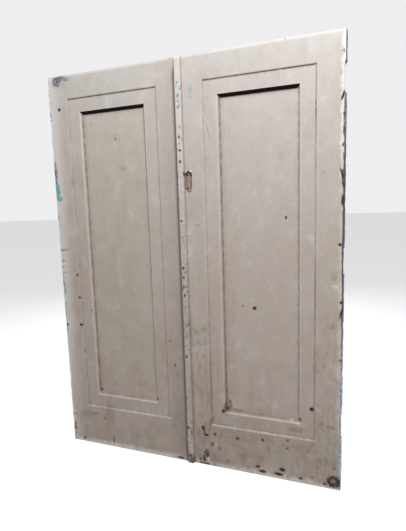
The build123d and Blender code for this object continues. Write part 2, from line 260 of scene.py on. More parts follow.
def make_paint_tone():
    """Cream paint: cleaner near the top, browner lower down, with faint rosy and greenish clouds."""
    group, w, given, result = group_wiring(
        "cream paint tone",
        {"Point": None, "Up": 1.0, "Clean": (0.600, 0.566, 0.538, 1), "Soiled": (0.425, 0.335, 0.272, 1),
         "Rosy": (0.55, 0.475, 0.465, 1), "Greenish": (0.50, 0.515, 0.46, 1)},
        ("Color", "Height"))
    down = w.most(w.minus(1.0, w.maths("DIVIDE", given["Up"], LEAF_HEIGHT)), 0.0)
    cloud = w.noise(w.vector("MULTIPLY", given["Point"], (1.0, 1.0, 0.5)), 5.0, 4.0, 0.55)
    soil = w.times(w.maths("POWER", down, 0.6), w.between(cloud, 0.2, 0.8, 0.66, 1.0))
    tint = w.noise(w.vector("ADD", given["Point"], (7.0, 3.0, 2.0)), 3.4, 3.0, 0.5)
    brush = w.noise(w.vector("MULTIPLY", given["Point"], (60.0, 60.0, 2.5)), 6.0, 3.0, 0.6)
    colour = w.blend(soil, given["Clean"], given["Soiled"])
    colour = w.blend(w.between(tint, 0.48, 0.70, 0.0, 0.36), colour, given["Rosy"])
    colour = w.blend(w.between(tint, 0.46, 0.28, 0.0, 0.22), colour, given["Greenish"])
    colour = w.blend(w.between(brush, 0.3, 0.75, 0.0, 0.07), colour, BRUSH_GROOVE)
    grains = w.noise(given["Point"], 85.0, 3.0, 0.7)
    colour = w.blend(w.between(grains, 0.42, 0.72, 0.0, 0.09), colour, DUST_GRAIN)
    patches = w.noise(w.vector("MULTIPLY", given["Point"], (1.0, 1.0, 0.7)), 17.0, 5.0, 0.62)
    colour = w.blend(w.between(patches, 0.52, 0.72, 0.0, 0.13), colour, DULL_PATCH)
    colour = w.blend(w.between(patches, 0.47, 0.30, 0.0, 0.26), colour, WASHED_PATCH)
    w.feed(result["Color"], colour)
    w.feed(result["Height"], w.times_plus(brush, 0.4, w.times(cloud, 0.8)))
    return group


def make_grime_and_shade():
    """Dirt and painted shade on a leaf.

    Smears and specks of dirt lie low on the leaf, and lines of dirt and painted shade in the corners of
    the borders. Painted shade darkens the left leaf towards the astragal, beside the astragal's painted
    shadow, and painted deep shade lies under the panel's top. A soft tan band runs beside the panel's
    sides.
    """
    group, w, given, result = group_wiring(
        "grime_and_shade",
        {"Point": None, "Up": 1.0, "Window": 1.0, "Panel": 1.0, "Lintel": 0.0, "Ledge": 0.0, "Cheek": 0.0,
         "First": 0.0, "Right": 0.0, "Beside": 1.0},
        ("Smear_and_shade", "Tan", "Crease_and_shade", "Deep", "Specks"))
    smear = w.noise(w.vector("MULTIPLY", given["Point"], (1.0, 1.0, 0.6)), 11.0, 6.0, 0.68)
    fine = w.noise(given["Point"], 34.0, 4.0, 0.6)
    low = w.between(given["Up"], 0.9, 0.05)
    foot = w.between(given["Up"], 0.30, 0.16)
    smears_and_shade = w.times(w.between(smear, 0.46, 0.74), w.times_plus(low, 0.30, 0.16))
    right_share = w.times_plus(given["Right"], 0.6, 0.3)
    foot_smears = w.times(w.between(fine, 0.30, 0.70, 0.02, 0.30), right_share)
    smears_and_shade = w.times_plus(foot, foot_smears, smears_and_shade)
    left_of_bead = w.between(given["Beside"], -0.001, 0.0)
    # Painted shade over the left leaf's last 150 mm before the astragal, stronger lower down.
    meeting_shade = w.between(given["Up"], 1.1, 0.4, 0.24, 0.40)
    near_meeting = w.times(w.between(given["Beside"], 0.15, 0.0), meeting_shade)
    smears_and_shade = w.times_plus(near_meeting, left_of_bead, smears_and_shade)
    smudge = w.noise(w.vector("MULTIPLY", given["Point"], (1.6, 1.6, 0.8)), 32.0, 5.0, 0.7)
    beside_bead = w.times(w.between(given["Beside"], -0.21, -0.13), given["Right"])
    beside_bead = w.times(beside_bead, w.between(given["Up"], 0.86, 0.66))
    beside_edge = w.times(w.between(given["Beside"], -0.62, -0.68), w.between(given["Up"], 0.95, 0.70))
    smudged = w.times(w.most(beside_bead, w.times(beside_edge, 0.75)), 0.50)
    smears_and_shade = w.times_plus(w.between(smudge, 0.50, 0.66), smudged, smears_and_shade, clamp=True)

    gaps = w.between(fine, 0.34, 0.60)
    step = w.between(w.magnitude(w.plus(given["Window"], 0.0010)), 0.0075, 0.0010)
    # Dirt and painted shade along the border's step, darkest along its top, where shade falls.
    step_dirt_and_shade = w.times_plus(given["Cheek"], 0.05, w.times_plus(given["Lintel"], 0.20, 0.06))
    gap_dirt = w.times_plus(given["Cheek"], -0.14, 0.30)
    crease_and_shade = w.times(step, w.times_plus(gaps, gap_dirt, step_dirt_and_shade))
    # Dirt and painted shade along the foot of the panel's splays, darkest along the left side.
    foot_line = w.between(w.magnitude(w.plus(given["Panel"], 0.0010)), 0.0060, 0.0010)
    line_dirt_and_shade = w.times_plus(gaps, 0.26, w.times_plus(given["First"], 0.20, 0.10))
    crease_and_shade = w.most(crease_and_shade, w.times(foot_line, line_dirt_and_shade))
    # A soft tan band on the panel beside its sides and splays, strongest beside the left side.
    band = w.times(w.between(given["Panel"], 0.008, 0.004), w.between(given["Panel"], -0.032, -0.002))
    band_strength = w.times_plus(given["First"], 0.20, w.times_plus(gaps, 0.14, 0.05))
    w.feed(result["Tan"], w.times(band, band_strength))
    # The astragal's painted shadow on the left leaf beside it, starting a little below the top.
    shade = w.times(w.between(given["Beside"], 0.024, 0.004, 0.0, 0.70), left_of_bead)
    crease_and_shade = w.most(crease_and_shade, w.times(shade, w.between(given["Up"], 2.00, 1.96)))
    # Dirt and painted shade along the joint at the astragal's right edge.
    from_seam = w.magnitude(w.plus(given["Beside"], 2 * ASTRAGAL_HALF + SEAM_ASIDE))
    seam = w.between(from_seam, 0.0050, 0.0010, 0.0, 0.42)
    crease_and_shade = w.most(crease_and_shade, seam)
    on_ledge = w.between(given["Panel"], 0.0065, 0.0050)
    ledge_dust = w.times(on_ledge, w.between(given["Panel"], -0.001, 0.0))
    ledge_dust = w.times(ledge_dust, w.times_plus(gaps, 0.10, 0.26))
    crease_and_shade = w.most(crease_and_shade, w.times(ledge_dust, given["Ledge"]))
    # Painted deep shade on the top splay and on the panel just below it, where the panel's top throws its
    # shade.
    on_splay = w.between(given["Panel"], 0.0090, 0.0080)
    under = w.times(on_splay, w.between(given["Panel"], -0.0105, -0.0035))

    specks = w.noise(given["Point"], 95.0, 2.0, 0.5)
    where = w.between(w.noise(given["Point"], 6.0, 2.0, 0.5), 0.45, 0.75)
    level = w.times_plus(low, -0.02, 0.80)
    level = w.times_plus(where, -0.05, w.times_plus(foot, -0.045, level))
    w.feed(result["Smear_and_shade"], smears_and_shade)
    w.feed(result["Crease_and_shade"], crease_and_shade)
    w.feed(result["Deep"], w.times(under, given["Lintel"]))
    w.feed(result["Specks"], w.between(specks, level, w.plus(level, 0.03)))
    return group


def make_rubbed_and_lit():
    """Where the paint is drawn pale: worn arrises and rims, painted highlights and painted light.

    The arrises of the ledges carry a painted highlight. Painted light lies along the left leaf's outer
    stile and on the splays that face away from the light.
    """
    group, w, given, result = group_wiring(
        "rubbed and painted-lit arrises",
        {"Point": None, "Window": 1.0, "Panel": 1.0, "Ledge": 0.0, "Cheek": 0.0, "First": 0.0,
         "Right": 0.0, "Outer": 1.0, "Up": 1.0},
        ("Pale",))
    ragged = w.between(w.noise(given["Point"], 24.0, 4.0, 0.65), 0.30, 0.66)
    panel_arris = w.between(w.magnitude(w.minus(given["Panel"], 0.0090)), 0.0060, 0.0015)
    step_arris = w.between(w.magnitude(w.minus(given["Window"], 0.0045)), 0.0075, 0.0020)
    # Worn pale arrises of the panel and the step; on the ledges the pale is mostly a painted highlight.
    pale = w.times(panel_arris, w.times_plus(given["Ledge"], 0.15, 0.26))
    pale = w.most(pale, w.times(step_arris, w.times_plus(given["Ledge"], 0.75, 0.15)))
    pale = w.times(pale, w.times_plus(ragged, 0.6, 0.4))
    # Painted light on the splays of the sides that face away from the light.
    splay = w.times(w.between(given["Panel"], 0.0, 0.001), w.between(given["Panel"], 0.0095, 0.008))
    away_cheek = w.minus(given["Cheek"], given["First"])
    pale = w.most(pale, w.times(w.times(splay, away_cheek), 0.75))
    side_rim = w.between(w.times_plus(ragged, -0.014, given["Outer"]), 0.016, 0.002, 0.0, 0.86)
    worn_off = w.times(given["Right"], w.between(given["Up"], 1.60, 1.35, 0.0, 0.62))
    side_rim = w.times(side_rim, w.minus(1.0, worn_off))
    # Painted light along the left leaf's outer stile, stronger higher up.
    left_painted_light = w.between(given["Outer"], 0.095, 0.01, 0.0, 0.70)
    left_painted_light = w.times(left_painted_light, w.minus(1.0, given["Right"]))
    left_painted_light = w.times(left_painted_light, w.between(given["Up"], 0.25, 0.75, 0.62, 1.0))
    foot_rim = w.between(w.times_plus(ragged, -0.014, given["Up"]), 0.026, 0.002, 0.0, 0.80)
    top_rim = w.between(w.minus(LEAF_HEIGHT, given["Up"]), 0.016, 0.002, 0.0, 0.8)
    rim = w.most(w.most(side_rim, left_painted_light), w.most(foot_rim, top_rim))
    w.feed(result["Pale"], w.most(pale, rim))
    return group


def make_step_roll():
    """The soft roll of the sheet over the border's step, as a height for the bump."""
    group, w, given, result = group_wiring(
        "roll over the step", {"Window": 1.0, "Panel": 1.0}, ("Height",))
    roll = w.between(given["Window"], -0.008, 0.010)
    foot = w.between(given["Panel"], -0.010, 0.003)
    w.feed(result["Height"], w.times_plus(foot, 0.6, roll))
    return group


def make_edge_wear():
    """Bare metal along the outer edges and chips near them.

    The strip is widest on the right leaf below its torn seat. There a painted shadow lies beside the
    paint's lifted edge, and the metal is drawn darker at mid height.
    """
    group, w, given, result = group_wiring(
        "edge wear", {"Point": None, "Edge": 1.0, "Outer": 1.0, "Up": 1.0, "Right": 0.0},
        ("Bare", "Shadow", "Darker"))
    ragged = w.noise(given["Point"], 30.0, 5.0, 0.65)
    nick = w.noise(given["Point"], 11.0, 3.0, 0.5)
    strip = w.times(given["Right"], w.between(given["Up"], 1.80, 1.74, 0.0, 0.0036))
    reach = w.plus(w.times_plus(w.between(ragged, 0.3, 0.7), 0.0020, 0.0002), strip)
    past_strip = w.minus(given["Outer"], reach)
    bare = w.between(past_strip, 0.0006, -0.0002)
    chips = w.times(w.between(nick, 0.61, 0.66), w.between(given["Edge"], 0.010, 0.006))
    chips = w.times(chips, w.between(ragged, 0.44, 0.5))
    w.feed(result["Bare"], w.most(bare, chips))
    # A painted shadow beside the lifted paint edge on the right leaf.
    lifted = w.times(w.between(past_strip, 0.0030, 0.0012), w.between(nick, 0.50, 0.58))
    w.feed(result["Shadow"], w.times(lifted, given["Right"]))
    # The right leaf's bare strip drawn darker at mid height.
    middle = w.times(w.between(given["Up"], 0.60, 0.85), w.between(given["Up"], 1.62, 1.45))
    w.feed(result["Darker"], w.times(w.times(middle, given["Right"]), 0.78))
    return group


LEAF_PLACE = make_leaf_place()
MARK = make_mark()
PAINT_TONE = make_paint_tone()
GRIME_AND_SHADE = make_grime_and_shade()
RUBBED_AND_LIT = make_rubbed_and_lit()
STEP_ROLL = make_step_roll()
EDGE_WEAR = make_edge_wear()

# Marks on the front, by what shows in them; the glints are painted highlights. Each is how far its
# middle is from the leaf's left edge and from its top, its width and height, its lean (sideways per
# length) and its strength. Lengths are in millimetres.
MARKS = {
    "left": {
        "stain": [
            (14, 910, 44, 8, -0.2, 0.8), (58, 902, 18, 9, 0.0, 0.4), (15, 970, 18, 11, 0.0, 0.5),
            (8, 1003, 12, 8, 0.0, 0.7), (18, 1035, 22, 8, 0.0, 0.45), (6, 1068, 10, 30, 0.0, 0.4),
            (112, 938, 14, 8, 0.0, 0.3), (116, 548, 14, 26, 0.0, 0.35),
            (116, 1483, 15, 16, 0.0, 0.4), (14, 1872, 16, 14, 0.0, 0.5),
            (17, 1830, 8, 20, 0.0, 0.35), (112, 1858, 56, 22, -0.5, 0.25),
            (228, 1868, 30, 12, 0.0, 0.3), (120, 1790, 22, 14, 0.0, 0.25),
            (45, 2010, 16, 12, 0.0, 0.3), (390, 340, 50, 30, 0.0, 0.12),
            (420, 488, 34, 24, 0.0, 0.12), (640, 1506, 16, 40, 0.0, 0.12),
        ],
        "zinc": [
            (58, 26, 46, 42, 0.0, 1), (84, 12, 56, 18, 0.0, 1), (118, 24, 34, 12, 0.0, 1),
            (7, 494, 20, 104, 0.0, 1), (5, 1360, 9, 60, 0.0, 1), (10, 2004, 20, 46, 0.0, 0.8),
        ],
        "teal": [
            (13, 588, 28, 84, 0.0, 1), (20, 630, 42, 26, 0.0, 1), (11, 1130, 15, 84, 0.0, 0.7),
        ],
        "hole": [
            (63, 167, 15, 15, 0.0, 1), (104, 1046, 14, 15, 0.0, 0.9), (108, 1174, 16, 12, 0.0, 0.9),
            (108, 1330, 18, 15, 0.0, 1), (182, 1244, 8, 8, 0.0, 1), (688, 1506, 9, 9, 0.0, 1),
            (664, 1378, 8, 8, 0.0, 0.8), (160, 1850, 30, 6, -0.3, 0.8),
            (222, 1868, 10, 7, 0.0, 0.4), (390, 340, 9, 9, 0.0, 0.8), (420, 488, 6, 9, 0.0, 0.6),
            (277, 1976, 10, 9, 0.0, 0.8), (279, 1994, 11, 12, 0.0, 0.9),
            (276, 2010, 8, 12, 0.0, 0.6), (244, 250, 4, 18, 0.4, 0.4), (7, 1335, 20, 12, 0.0, 0.9),
            (3, 1100, 10, 18, 0.0, 0.9), (15, 1932, 10, 26, 0.0, 0.8), (11, 1958, 16, 22, 0.0, 0.8),
            (9, 1960, 24, 8, 0.0, 0.8), (75, 2013, 16, 16, 0.0, 0.8), (4, 88, 12, 5, 0.0, 0.5),
            (5, 130, 12, 5, 0.2, 0.5), (5, 216, 10, 6, 0.0, 0.5), (4, 1212, 9, 8, 0.0, 0.7),
        ],
        "rust": [
            (206, 1706, 15, 13, 0.0, 1), (572, 1706, 14, 12, 0.0, 1), (700, 2020, 40, 10, 0.0, 1),
        ],
        # Painted highlights
        "glint": [
            (22, 12, 24, 14, 0.0, 1), (6, 58, 12, 34, 0.0, 0.8), (6, 112, 12, 20, 0.0, 0.7),
            (4, 300, 8, 90, 0.0, 0.7), (7, 925, 10, 14, 0.0, 0.6), (8, 990, 10, 12, 0.0, 0.6),
        ],
    },
    "right": {
        "stain": [
            (640, 300, 5, 100, 0.0, 0.55), (641, 200, 3, 160, 0.0, 0.2),
            (641, 480, 3, 260, 0.0, 0.25), (641, 1110, 4, 200, 0.0, 0.6),
            (641, 1490, 4, 130, 0.0, 0.55), (640, 1330, 3, 140, 0.0, 0.3),
            (125, 250, 4, 90, -0.35, 0.35), (138, 330, 4, 90, -0.25, 0.45),
            (120, 300, 3, 70, 0.1, 0.3), (90, 1303, 18, 16, 0.0, 0.5), (60, 1372, 18, 22, 0.0, 0.3),
            (56, 1322, 20, 12, 0.0, 0.25), (54, 1535, 12, 26, 0.0, 0.25),
            (168, 1855, 22, 20, 0.0, 0.4), (196, 1858, 16, 10, 0.0, 0.4),
            (300, 1848, 80, 14, -0.2, 0.25), (255, 1838, 250, 42, 0.0, 0.22),
            (560, 1850, 120, 20, 0.0, 0.12), (24, 1560, 5, 420, 0.0, 0.30),
            (96, 1560, 4, 300, 0.0, 0.25), (160, 1500, 5, 240, 0.0, 0.18),
            (207, 1696, 26, 46, 0.25, 0.9), (240, 1711, 70, 11, 0.0, 0.5),
            (201, 1630, 9, 130, 0.0, 0.35), (119, 1785, 17, 40, 0.2, 0.75),
            (120, 1660, 9, 270, 0.0, 0.42), (126, 1824, 24, 22, 0.0, 0.25),
            (158, 1928, 16, 18, 0.0, 0.6), (100, 1900, 12, 60, 0.0, 0.25),
            (235, 1895, 22, 12, -0.4, 0.4), (300, 1941, 40, 13, 0.0, 0.25),
            (380, 1940, 16, 20, 0.0, 0.25), (206, 1991, 18, 15, 0.0, 0.5),
            (112, 1985, 46, 40, 0.0, 0.30), (70, 1930, 60, 120, 0.0, 0.2),
            (607, 1853, 15, 20, -0.5, 0.5), (564, 1936, 15, 20, 0.0, 0.35),
            (662, 1900, 22, 18, 0.0, 0.4), (694, 1896, 14, 44, 0.0, 0.32),
            (555, 1763, 56, 17, 0.0, 0.5), (526, 1752, 26, 30, 0.0, 0.2),
            (672, 1714, 18, 18, 0.0, 0.35), (717, 1725, 22, 11, 0.0, 0.55),
            (632, 1990, 18, 12, 0.0, 0.45), (664, 2010, 16, 14, 0.0, 0.3),
            (672, 568, 13, 10, 0.0, 0.3), (722, 1018, 16, 24, 0.0, 0.3),
            (717, 1245, 15, 17, 0.0, 0.35), (415, 1883, 12, 14, 0.0, 0.35),
            (75, 785, 18, 10, 0.0, 0.4), (244, 1480, 14, 60, 0.0, 0.14),
            (230, 1300, 40, 400, 0.0, 0.08), (640, 1450, 14, 30, 0.0, 0.3),
            (12, 1270, 18, 24, 0.0, 0.3), (0, 1192, 10, 12, 0.0, 0.6), (6, 1018, 10, 10, 0.0, 0.5),
            (-2, 1085, 9, 12, 0.0, 0.35), (11, 975, 8, 10, 0.0, 0.4), (10, 1900, 9, 120, 0.0, 0.35),
        ],
        "zinc": [
            (753, 87, 10, 18, 0.0, 1), (757, 590, 12, 60, 0.0, 1), (-2, 118, 9, 13, 0.0, 0.7),
            (0, 178, 10, 17, 0.0, 0.8), (1, 203, 9, 11, 0.0, 0.8), (-1, 229, 11, 12, 0.0, 0.8),
            (-14, 545, 6, 34, 0.0, 1), (764, 1030, 8, 20, 0.0, 1), (-8, 1935, 8, 70, 0.0, 0.6),
        ],
        "teal": [
            (59, 160, 17, 40, 0.0, 0.4), (58, 190, 18, 15, 0.0, 0.5), (-6, 126, 8, 10, 0.0, 0.5),
        ],
        "hole": [
            (352, 1184, 18, 15, 0.0, 1), (292, 1176, 8, 7, 0.0, 0.8), (506, 756, 8, 13, 0.2, 1),
            (747, 877, 12, 12, 0.0, 1), (628, 1650, 20, 18, 0.0, 1), (183, 1723, 15, 20, 0.0, 0.95),
            (203, 1708, 15, 16, 0.0, 0.85), (72, 1830, 15, 21, 0.0, 1), (76, 1850, 9, 30, 0.0, 0.8),
            (88, 1866, 28, 13, 0.0, 1), (135, 1853, 14, 17, 0.0, 0.85),
            (257, 1857, 20, 15, 0.0, 0.8), (388, 1842, 17, 15, 0.0, 0.75),
            (120, 1912, 15, 20, 0.0, 0.7), (362, 1988, 20, 14, 0.4, 0.9),
            (386, 2010, 38, 12, 0.0, 1), (487, 1981, 25, 19, 0.0, 1), (468, 2008, 38, 15, 0.0, 1),
            (516, 2012, 14, 8, 0.0, 0.5), (575, 2008, 17, 12, 0.0, 0.85),
            (690, 2012, 16, 12, 0.0, 0.9), (513, 1824, 18, 11, 0.0, 0.6),
            (512, 1865, 12, 14, 0.0, 0.6), (573, 1708, 13, 15, 0.0, 0.8),
            (735, 1925, 13, 12, 0.5, 0.6), (752, 258, 9, 34, 0.25, 1), (757, 332, 7, 13, 0.0, 0.8),
            (757, 398, 7, 44, 0.0, 0.9), (756, 456, 8, 14, 0.0, 0.9), (758, 505, 6, 34, 0.0, 0.7),
            (751, 576, 6, 50, -0.3, 1), (758, 620, 7, 30, 0.0, 0.7), (755, 690, 10, 44, 0.0, 1),
            (755, 1133, 11, 11, 0.0, 1), (755, 1182, 8, 40, 0.25, 1), (756, 1398, 11, 9, 0.0, 0.8),
            (45, 534, 12, 9, 0.0, 0.9), (15, 538, 5, 20, 0.0, 0.8), (-3, 762, 11, 13, 0.0, 0.9),
            (-4, 994, 13, 14, 0.0, 0.9), (-3, 1041, 11, 12, 0.0, 0.9), (-1, 1130, 10, 14, 0.0, 0.9),
            (-4, 1449, 12, 18, 0.0, 0.9), (-6, 1834, 14, 14, 0.0, 0.9), (-2, 1990, 12, 16, 0.0, 1),
            (-15, 586, 5, 12, 0.0, 0.8), (1, 366, 9, 14, 0.0, 0.9), (3, 427, 10, 13, 0.0, 0.9),
            (1, 481, 10, 16, 0.0, 0.9), (10, 1858, 7, 30, 0.0, 0.7), (75, 1965, 10, 10, 0.0, 0.8),
        ],
        "rust": [
            (733, 1994, 62, 54, 0.0, 1), (88, 1968, 22, 42, 0.0, 0.85),
            (72, 2000, 15, 42, 0.0, 0.85), (50, 2005, 13, 20, 0.0, 0.7),
            (75, 2026, 62, 12, 0.0, 0.85), (8, 2016, 18, 34, 0.0, 0.8),
            (-8, 2020, 10, 24, 0.0, 0.5),
        ],
        "mauve": [
            (729, 1992, 24, 19, 0.0, 0.85), (94, 1999, 9, 14, 0.0, 0.5),
            (741, 2010, 10, 6, 0.0, 0.7),
        ],
        # Painted highlights
        "glint": [
            (95, 1998, 13, 19, 0.0, 1), (49, 526, 10, 10, 0.0, 1), (530, 1720, 14, 10, 0.0, 0.5),
            (728, 1062, 30, 18, 0.0, 0.4), (60, 1815, 12, 8, 0.0, 0.3),
            (385, 1994, 12, 8, 0.0, 0.3), (757, 60, 10, 110, 0.0, 0.9),
            (754, 180, 12, 100, 0.0, 0.9), (752, 340, 10, 150, 0.0, 0.8),
        ],
    },
}

# Dents: how far from the leaf's left edge and top, radius and depth, in millimetres
DENTS = {
    "left": [(390, 340, 32, 0.8), (420, 488, 28, 0.7), (300, 1420, 60, 0.5)],
    "right": [(628, 1650, 30, 0.85), (352, 1184, 24, 0.8), (506, 756, 18, 0.7), (730, 1030, 26, 0.8),
              (734, 1420, 24, 0.8), (620, 420, 30, 0.6)],
}
DENT_FALL = 2.2
LEFT_EDGE = {"left": -HALF_GAP - LEAF_WIDTH, "right": HALF_GAP}

# A mark's map reaches this many times its half width and half height, so that its rim fits on it
MARK_REACH = 2.2

# How finely the worn copies are divided, in metres
SHEET_CELL = 0.0065
PAN_CELL = 0.0085
PLAIN_CELL = 0.012
SAME_PLACE = 1e-6

# How the sheets wave and how the outer edges are knocked in, in metres. FADE is the width over which
# these die out, and what lies deeper in a pan's folds than PAN_FOLD_DEPTH stays where it is
WAVE = 0.00035
WAVE_LENGTH = 0.16
WAVE_SEED = {"left": 3.7, "right": 9.1}
MOST_PROUD = 0.0006
MOST_SUNK = 0.00085
EDGE_KNOCK = 0.0025
FADE = 0.03
PAN_FOLD_DEPTH = 0.021
PAN_FOLD_FADE = 0.010

# Edges that turn more than this stay crisp
SHARP_ANGLE = math.radians(28)


def split_polygon(corners, axis, plane):
    """The parts of a convex polygon below and above a plane across an axis."""
    below, above = [], []
    last = corners[-1]
    for corner in corners:
        if (last[axis] - plane) * (corner[axis] - plane) < 0:
            a, b = (last, corner) if last < corner else (corner, last)
            share = (plane - a[axis]) / (b[axis] - a[axis])
            cut = [p + share * (q - p) for p, q in zip(a, b)]
            cut[axis] = plane
            below.append(tuple(cut))
            above.append(tuple(cut))
        if corner[axis] <= plane:
            below.append(corner)
        if corner[axis] >= plane:
            above.append(corner)
        last = corner
    return below, above


def cut_along(polygons, axis, planes):
    """Every polygon cut at each plane that it crosses."""
    made = []
    for corners in polygons:
        places = [corner[axis] for corner in corners]
        first = bisect_right(planes, min(places) + SAME_PLACE)
        end = bisect_left(planes, max(places) - SAME_PLACE)
        rest = corners
        for plane in planes[first:end]:
            below, rest = split_polygon(rest, axis, plane)
            if len(below) > 2:
                made.append(below)
        if len(rest) > 2:
            made.append(rest)
    return made


def grid_planes(low, high, spacing):
    """Evenly spaced places between two ends, about a spacing apart."""
    count = max(1, round((high - low) / spacing))
    return [low + (high - low) * n / count for n in range(1, count)]


def finely_divided(node, spacing):
    """Points and faces of a CAD node, cut into small cells across X and Z."""
    mesh = nodes[node].data
    points = [tuple(round(c, 7) for c in v.co) for v in mesh.vertices]
    polygons = [[points[i] for i in face.vertices] for face in mesh.polygons]
    low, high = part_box(node)
    for axis in (2, 0):
        polygons = cut_along(polygons, axis, grid_planes(low[axis], high[axis], spacing))
    index, faces = {}, []
    for corners in polygons:
        face = []
        for corner in corners:
            key = tuple(round(c * 1e6) for c in corner)
            here = index.setdefault(key, len(index))
            if here not in face:
                face.append(here)
        if len(face) > 2:
            faces.append(face)
    return np.array(list(index), float) / 1e6, faces


def dent_depth(leaf, x, z):
    """How far the dents push the sheet in."""
    depth = np.zeros(len(x))
    for across, down, radius, deepest in DENTS[leaf]:
        aside = x - LEFT_EDGE[leaf] - across / 1000
        above = z - LEAF_HEIGHT + down / 1000
        away = np.hypot(aside, above) * 1000 / radius
        depth = np.maximum(depth, deepest / 1000 * np.exp(-DENT_FALL * away ** 2))
    return depth


def ripple(points, size, seed):
    """Slow waves of a hand-folded sheet, between -1 and 1."""
    return np.array([noise.noise(Vector((x / size, seed, z / size * 0.6))) for x, _, z in points])


def batter_outer_edge(points):
    """Knocks the leaf's outer edge in unevenly; the push fades out inwards."""
    beside = np.abs(points[:, 0])
    near_edge = np.clip((beside - (HALF_GAP + LEAF_WIDTH - FADE)) / FADE, 0, 1) ** 2
    seed = np.where(points[:, 0] < 0, 5.3, 12.9)

    def along_edge(row, length):
        places = zip(seed, points[:, 2])
        return np.array([noise.noise(Vector((side, row, z / length))) for side, z in places])

    knock = 0.0004 + 0.0030 * along_edge(0.0, 0.045) + 0.0014 * along_edge(4.0, 0.016)
    knock = np.clip(knock, 0, EDGE_KNOCK)
    points[:, 0] -= np.sign(points[:, 0]) * knock * near_edge


def worn_sheet(node, leaf, cell=SHEET_CELL):
    """Stands for a CAD sheet on the front: the same sheet with its dents, waves and mark maps.

    The waves die out at the sheet's rim. On the face pan and the panel sheet, waves and dents die out
    deep in the folds. The astragal stands furthest out and isn't pushed further.
    """
    on_bead = "astragal" in node
    pan_or_panel = "pan" in node
    points, faces = finely_divided(node, cell)
    low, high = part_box(node)
    inside = np.minimum(np.minimum(points[:, 0] - low[0], high[0] - points[:, 0]),
                        np.minimum(points[:, 2] - low[2], high[2] - points[:, 2]))
    settled = np.clip(inside / FADE, 0, 1)
    push = dent_depth(leaf, points[:, 0], points[:, 2])
    push = push + WAVE * settled * ripple(points, WAVE_LENGTH, WAVE_SEED[leaf])
    if pan_or_panel:
        push *= np.clip((FRONT_Y + PAN_FOLD_DEPTH - points[:, 1]) / PAN_FOLD_FADE, 0, 1)
    points[:, 1] += np.clip(push, 0.0 if on_bead else -MOST_PROUD, MOST_SUNK)
    if pan_or_panel:
        batter_outer_edge(points)
    mesh = stand_for(node, points, faces, bead_paint if on_bead else cream_paint)
    map_marks(mesh, leaf)


def battered_copy(node, material):
    """Stands for a CAD node along the outer edge: the same body with that edge knocked in."""
    points, faces = finely_divided(node, PLAIN_CELL)
    batter_outer_edge(points)
    stand_for(node, points, faces, material)


def add_object(name, data):
    made = bpy.data.objects.new(name, data)
    bpy.context.scene.collection.objects.link(made)
    return made


def stand_for(node, points, faces, material):
    """Makes the mesh of a worn copy of a CAD node and lets it take the node's place."""
    mesh = bpy.data.meshes.new(node + "_worn")
    mesh.from_pydata(points.tolist(), [], faces)
    mesh.polygons.foreach_set("use_smooth", [True] * len(mesh.polygons))
    mesh.set_sharp_from_angle(angle=SHARP_ANGLE)
    mesh.materials.append(material)
    copy = add_object(node + "_worn", mesh)
    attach(copy, "leaves")
    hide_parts(node)
    return mesh


def map_marks(mesh, leaf):
    """Stores, for each kind of mark, where each face corner lies on the mark nearest to its face."""
    count = len(mesh.loops)
    corner_point = np.zeros(count, int)
    mesh.loops.foreach_get("vertex_index", corner_point)
    points = np.zeros(len(mesh.vertices) * 3)
    mesh.vertices.foreach_get("co", points)
    corners = points.reshape(-1, 3)[corner_point][:, [0, 2]] * 1000
    corners -= (LEFT_EDGE[leaf] * 1000, LEAF_HEIGHT * 1000)
    corners[:, 1] *= -1
    starts = np.zeros(len(mesh.polygons), int)
    mesh.polygons.foreach_get("loop_start", starts)
    face_low = np.minimum.reduceat(corners, starts)
    face_high = np.maximum.reduceat(corners, starts)
    face_middle = (face_low + face_high) / 2
    face_of = np.repeat(np.arange(len(starts)), np.diff(np.append(starts, count)))
    for kind, marks in MARKS[leaf].items():
        mapped = np.zeros((count, 3))
        nearest = np.full(len(starts), 1e9)
        for across, down, width, height, lean, strength in marks:
            half = np.array((width, height)) / 2
            reach = half * MARK_REACH + (abs(lean) * height, 0)
            middle = np.array((across, down), float)
            touched = ((face_low < middle + reach) & (face_high > middle - reach)).all(axis=1)
            distance = np.linalg.norm((face_middle - middle) / half, axis=1)
            touched &= distance < nearest
            nearest[touched] = distance[touched]
            here = touched[face_of]
            away = corners[here] - middle
            away[:, 0] += lean * away[:, 1]
            mapped[here, :2] = away / half
            mapped[here, 2] = strength
        attribute = mesh.attributes.new(kind + "_map", "FLOAT_VECTOR", "CORNER")
        attribute.data.foreach_set("vector", mapped.astype(np.float32).ravel())


def empty_tree(owner):
    """The wiring of a material's or world's node tree, cleared."""
    owner.use_nodes = True
    owner.node_tree.nodes.clear()
    return Wiring(owner.node_tree)


def new_material(name):
    """A new material, its wiring, its shader's inputs and the point that is being shaded."""
    material = bpy.data.materials.new(name)
    wiring = empty_tree(material)
    shader = wiring.put("ShaderNodeBsdfPrincipled")
    wiring.put("ShaderNodeOutputMaterial", {"Surface": shader.outputs[0]})
    point = wiring.put("ShaderNodeTexCoord").outputs["Object"]
    return material, wiring, shader.inputs, point


def raise_surface(w, shader, height, distance, strength):
    bump = w.put("ShaderNodeBump", {"Height": height, "Distance": distance, "Strength": strength})
    w.feed(shader["Normal"], bump.outputs[0])


def find_marks(w, point, kinds):
    """The mask and rim of each kind of mark, from the maps that the worn sheets store."""
    wobble = w.minus(w.noise(point, 110.0, 3.0, 0.6), 0.5)
    found = {}
    for kind in kinds:
        mark_map = w.put("ShaderNodeAttribute", attribute_name=kind + "_map").outputs["Vector"]
        found[kind] = use(w, MARK, map=mark_map, wobble=wobble)
    return found


def galvanised_tone(w, point):
    """The blotches of an old zinc coat."""
    patches = w.between(w.noise(point, 60.0, 5.0, 0.65), 0.36, 0.66)
    return w.blend(patches, *ZINC_TONES)


